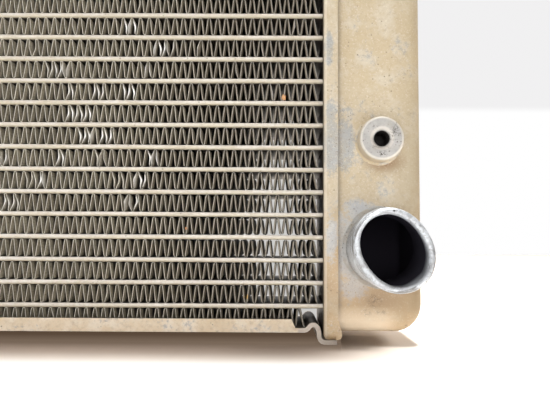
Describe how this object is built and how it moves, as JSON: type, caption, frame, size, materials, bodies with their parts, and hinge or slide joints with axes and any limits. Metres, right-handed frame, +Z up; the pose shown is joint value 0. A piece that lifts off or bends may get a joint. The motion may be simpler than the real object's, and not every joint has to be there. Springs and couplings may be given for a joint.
{
  "type": "car radiator",
  "caption": "Brazed aluminium crossflow car radiator: flat tubes and corrugated fins between two end tanks, with hose pipes, bosses, filler cap, drain and bleed screw.",
  "frame": {"origin": "middle of the underside of the bottom side plate", "axes": "+X to the outlet end, +Y through the core from front to back, +Z up"},
  "size_m": [0.5206, 0.0833, 0.3708],
  "materials": {
    "tube_aluminium": "brazed, dusty, worn bright along the noses",
    "fin_aluminium": "thin bare strip, dulled",
    "tan_aluminium": "beige film with blue-grey worn patches",
    "pipe_aluminium": "bright, lightly scratched",
    "boss_aluminium": "dull, pitted",
    "weld_aluminium": "as welded",
    "cap_steel": "stamped, satin",
    "spring_steel": "plain",
    "valve_brass": "turned",
    "seal_rubber": "matt black"
  },
  "bodies": {
    "radiator": {"core_tubes": "tube_aluminium", "core_fins": "fin_aluminium", "bottom_side_plate": "tan_aluminium", "top_side_plate": "tan_aluminium", "right_header_plate": "tan_aluminium", "left_header_plate": "tan_aluminium", "right_tank": "tan_aluminium", "left_tank": "tan_aluminium", "outlet_pipe": "pipe_aluminium", "inlet_pipe": "pipe_aluminium", "outlet_weld_bead": "weld_aluminium", "inlet_weld_bead": "weld_aluminium", "mounting_bosses": "boss_aluminium", "boss_weld_beads": "weld_aluminium", "filler_neck": "pipe_aluminium", "neck_weld_bead": "weld_aluminium", "overflow_nipple": "pipe_aluminium", "drain_bung": "boss_aluminium", "bleed_bung": "boss_aluminium"},
    "cap_core": {"cap_gasket": "seal_rubber", "cap_diaphragm": "spring_steel", "valve_cage": "spring_steel", "cap_rivet": "cap_steel", "pressure_spring": "spring_steel"},
    "cap": {"cap_shell": "cap_steel"},
    "pressure_valve": {"pressure_plate": "valve_brass", "pressure_seal": "seal_rubber", "vacuum_spring": "spring_steel"},
    "vacuum_valve": {"vacuum_valve": "valve_brass"},
    "drain_seal": {"drain_o_ring": "seal_rubber"},
    "drain_plug": {"drain_plug": "valve_brass"},
    "bleed_seal": {"bleed_washer": "seal_rubber"},
    "bleed_screw": {"bleed_screw": "valve_brass"}
  },
  "joints": [
    {"name": "cap_lift", "type": "slide", "parent": "radiator", "child": "cap_core", "axis": [0, 0, 1], "range_m": [0, 0.06]},
    {"name": "cap_turn", "type": "hinge", "parent": "cap_core", "child": "cap", "pos_m": [0.2332, 0, 0.3602], "axis": [0, 0, 1], "range_deg": [0, 90]},
    {"name": "pressure_valve_lift", "type": "slide", "parent": "cap_core", "child": "pressure_valve", "axis": [0, 0, 1], "range_m": [0, 0.003], "stiffness_N_per_m": 60, "springref_m": -0.01, "deforming": ["pressure_spring"]},
    {"name": "vacuum_valve_drop", "type": "slide", "parent": "pressure_valve", "child": "vacuum_valve", "axis": [0, 0, -1], "range_m": [0, 0.0015], "stiffness_N_per_m": 20, "springref_m": -0.003, "deforming": ["vacuum_spring"]},
    {"name": "drain_travel", "type": "slide", "parent": "radiator", "child": "drain_seal", "axis": [0, 1, 0], "range_m": [0, 0.0121]},
    {"name": "drain_turn", "type": "hinge", "parent": "drain_seal", "child": "drain_plug", "pos_m": [-0.24, 0.02927, 0.02], "axis": [0, 1, 0], "range_deg": [0, 2880]},
    {"name": "bleed_travel", "type": "slide", "parent": "radiator", "child": "bleed_seal", "axis": [0, 0, 1], "range_m": [0, 0.0101]},
    {"name": "bleed_turn", "type": "hinge", "parent": "bleed_seal", "child": "bleed_screw", "pos_m": [-0.233, 0, 0.337], "axis": [0, 0, 1], "range_deg": [0, 2880]}
  ],
  "couplings": [
    {"joint": "drain_travel", "follows": "drain_turn", "m_per_rad": 0.00023873},
    {"joint": "bleed_travel", "follows": "bleed_turn", "m_per_rad": 0.00019894}
  ]
}
